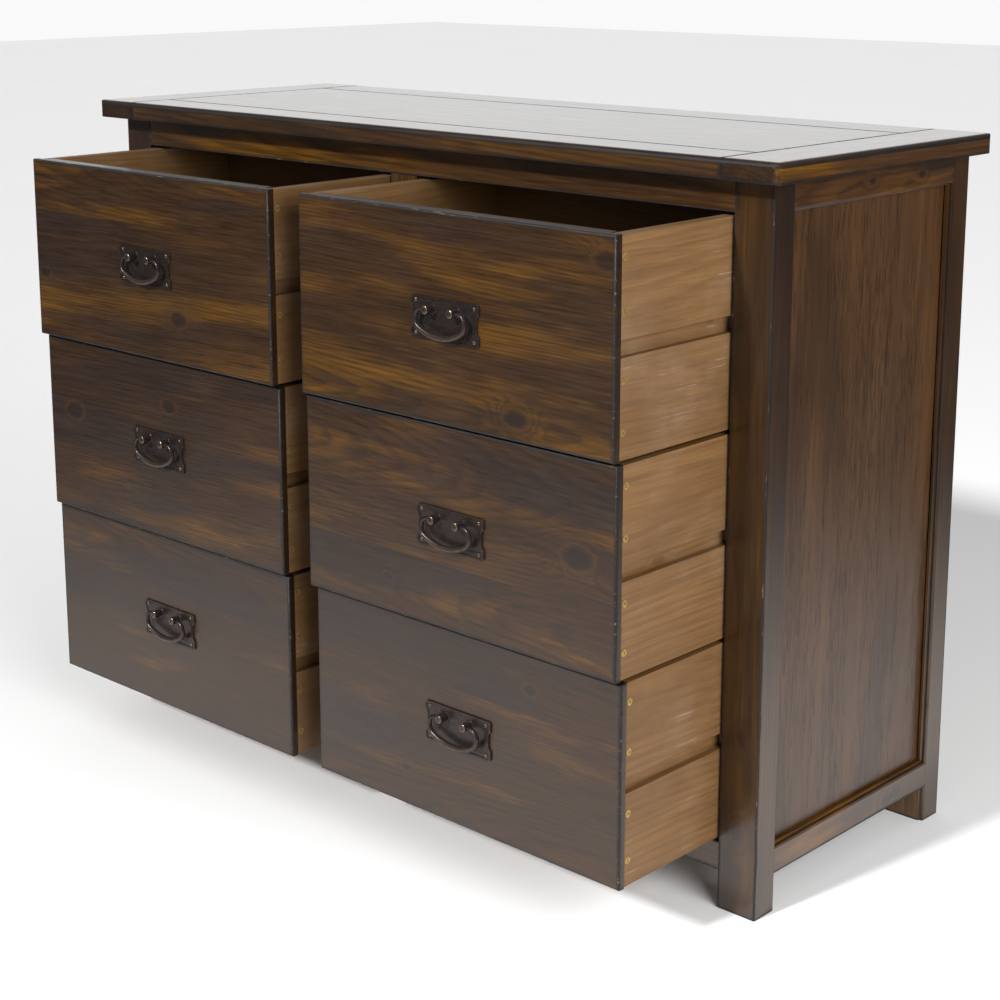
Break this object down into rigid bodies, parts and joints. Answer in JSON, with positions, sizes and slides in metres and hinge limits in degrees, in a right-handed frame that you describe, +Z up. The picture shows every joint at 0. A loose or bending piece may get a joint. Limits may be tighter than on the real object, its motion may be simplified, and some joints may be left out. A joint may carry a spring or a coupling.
{
  "type": "dresser with drawers",
  "caption": "Wide low dresser: columns of side-hung drawers, framed side panels, boarded top and a hinged bail pull on each drawer front.",
  "frame": {"origin": "on the floor, in the middle of the footprint with the drawers standing open as stored", "axes": "seen from the front, +X to the right, +Y to the back and +Z up; the drawers open towards -Y"},
  "size_m": [1.078, 0.568, 0.8],
  "materials": {
    "stained_wood": "dark walnut stain under satin lacquer",
    "front_wood": "knotty pine, dark walnut stain, satin lacquer",
    "top_veneer": "dark walnut stain, semi-gloss lacquer",
    "panel_veneer": "open-pored veneer, dark walnut stain, satin lacquer",
    "inner_wood": "unlacquered softwood, light stain",
    "back_board": "plywood, thin stain",
    "drawer_wood": "planed, unlacquered",
    "drawer_base": "plywood, unlacquered",
    "pull_bronze": "antique bronze, rubbed edges",
    "bail_bronze": "antique bronze, rubbed edges",
    "screw_zinc": "yellow zinc plated"
  },
  "bodies": {
    "carcass": {"top_panel": "top_veneer", "top_front_board": "stained_wood", "top_back_board": "stained_wood", "top_end_boards": "stained_wood", "front_legs": "stained_wood", "rear_legs": "stained_wood", "front_top_rail": "stained_wood", "front_bottom_rail": "stained_wood", "back_rails": "inner_wood", "left_side_rails": "stained_wood", "right_side_rails": "stained_wood", "left_side_panel": "panel_veneer", "right_side_panel": "panel_veneer", "centre_stiles": "stained_wood", "centre_partition": "inner_wood", "back_panel": "back_board", "drawer_runners": "inner_wood", "carcass_screws": "screw_zinc"},
    "left_top_drawer": {"left_top_drawer_front": "front_wood", "left_top_drawer_sides": "drawer_wood", "left_top_drawer_back": "drawer_wood", "left_top_drawer_bottom": "drawer_base", "left_top_drawer_screws": "screw_zinc", "left_top_pull_plate": "pull_bronze"},
    "left_top_bail": {"left_top_pull_bail": "bail_bronze"},
    "left_middle_drawer": {"left_middle_drawer_front": "front_wood", "left_middle_drawer_sides": "drawer_wood", "left_middle_drawer_back": "drawer_wood", "left_middle_drawer_bottom": "drawer_base", "left_middle_drawer_screws": "screw_zinc", "left_middle_pull_plate": "pull_bronze"},
    "left_middle_bail": {"left_middle_pull_bail": "bail_bronze"},
    "left_bottom_drawer": {"left_bottom_drawer_front": "front_wood", "left_bottom_drawer_sides": "drawer_wood", "left_bottom_drawer_back": "drawer_wood", "left_bottom_drawer_bottom": "drawer_base", "left_bottom_drawer_screws": "screw_zinc", "left_bottom_pull_plate": "pull_bronze"},
    "left_bottom_bail": {"left_bottom_pull_bail": "bail_bronze"},
    "right_top_drawer": {"right_top_drawer_front": "front_wood", "right_top_drawer_sides": "drawer_wood", "right_top_drawer_back": "drawer_wood", "right_top_drawer_bottom": "drawer_base", "right_top_drawer_screws": "screw_zinc", "right_top_pull_plate": "pull_bronze"},
    "right_top_bail": {"right_top_pull_bail": "bail_bronze"},
    "right_middle_drawer": {"right_middle_drawer_front": "front_wood", "right_middle_drawer_sides": "drawer_wood", "right_middle_drawer_back": "drawer_wood", "right_middle_drawer_bottom": "drawer_base", "right_middle_drawer_screws": "screw_zinc", "right_middle_pull_plate": "pull_bronze"},
    "right_middle_bail": {"right_middle_pull_bail": "bail_bronze"},
    "right_bottom_drawer": {"right_bottom_drawer_front": "front_wood", "right_bottom_drawer_sides": "drawer_wood", "right_bottom_drawer_back": "drawer_wood", "right_bottom_drawer_bottom": "drawer_base", "right_bottom_drawer_screws": "screw_zinc", "right_bottom_pull_plate": "pull_bronze"},
    "right_bottom_bail": {"right_bottom_pull_bail": "bail_bronze"}
  },
  "joints": [
    {"name": "left_top_drawer_slide", "type": "slide", "parent": "carcass", "child": "left_top_drawer", "axis": [0, -1, 0], "range_m": [-0.182, 0.048]},
    {"name": "left_top_bail_swing", "type": "hinge", "parent": "left_top_drawer", "child": "left_top_bail", "pos_m": [-0.2445, -0.279, 0.6415], "axis": [-1, 0, 0], "range_deg": [-6, 100]},
    {"name": "left_middle_drawer_slide", "type": "slide", "parent": "carcass", "child": "left_middle_drawer", "axis": [0, -1, 0], "range_m": [-0.172, 0.058]},
    {"name": "left_middle_bail_swing", "type": "hinge", "parent": "left_middle_drawer", "child": "left_middle_bail", "pos_m": [-0.2445, -0.269, 0.4195], "axis": [-1, 0, 0], "range_deg": [-6, 100]},
    {"name": "left_bottom_drawer_slide", "type": "slide", "parent": "carcass", "child": "left_bottom_drawer", "axis": [0, -1, 0], "range_m": [-0.165, 0.065]},
    {"name": "left_bottom_bail_swing", "type": "hinge", "parent": "left_bottom_drawer", "child": "left_bottom_bail", "pos_m": [-0.2445, -0.262, 0.1975], "axis": [-1, 0, 0], "range_deg": [-6, 100]},
    {"name": "right_top_drawer_slide", "type": "slide", "parent": "carcass", "child": "right_top_drawer", "axis": [0, -1, 0], "range_m": [-0.179, 0.051]},
    {"name": "right_top_bail_swing", "type": "hinge", "parent": "right_top_drawer", "child": "right_top_bail", "pos_m": [0.2445, -0.276, 0.6415], "axis": [-1, 0, 0], "range_deg": [-6, 100]},
    {"name": "right_middle_drawer_slide", "type": "slide", "parent": "carcass", "child": "right_middle_drawer", "axis": [0, -1, 0], "range_m": [-0.173, 0.057]},
    {"name": "right_middle_bail_swing", "type": "hinge", "parent": "right_middle_drawer", "child": "right_middle_bail", "pos_m": [0.2445, -0.27, 0.4195], "axis": [-1, 0, 0], "range_deg": [-6, 100]},
    {"name": "right_bottom_drawer_slide", "type": "slide", "parent": "carcass", "child": "right_bottom_drawer", "axis": [0, -1, 0], "range_m": [-0.163, 0.067]},
    {"name": "right_bottom_bail_swing", "type": "hinge", "parent": "right_bottom_drawer", "child": "right_bottom_bail", "pos_m": [0.2445, -0.26, 0.1975], "axis": [-1, 0, 0], "range_deg": [-6, 100]}
  ]
}
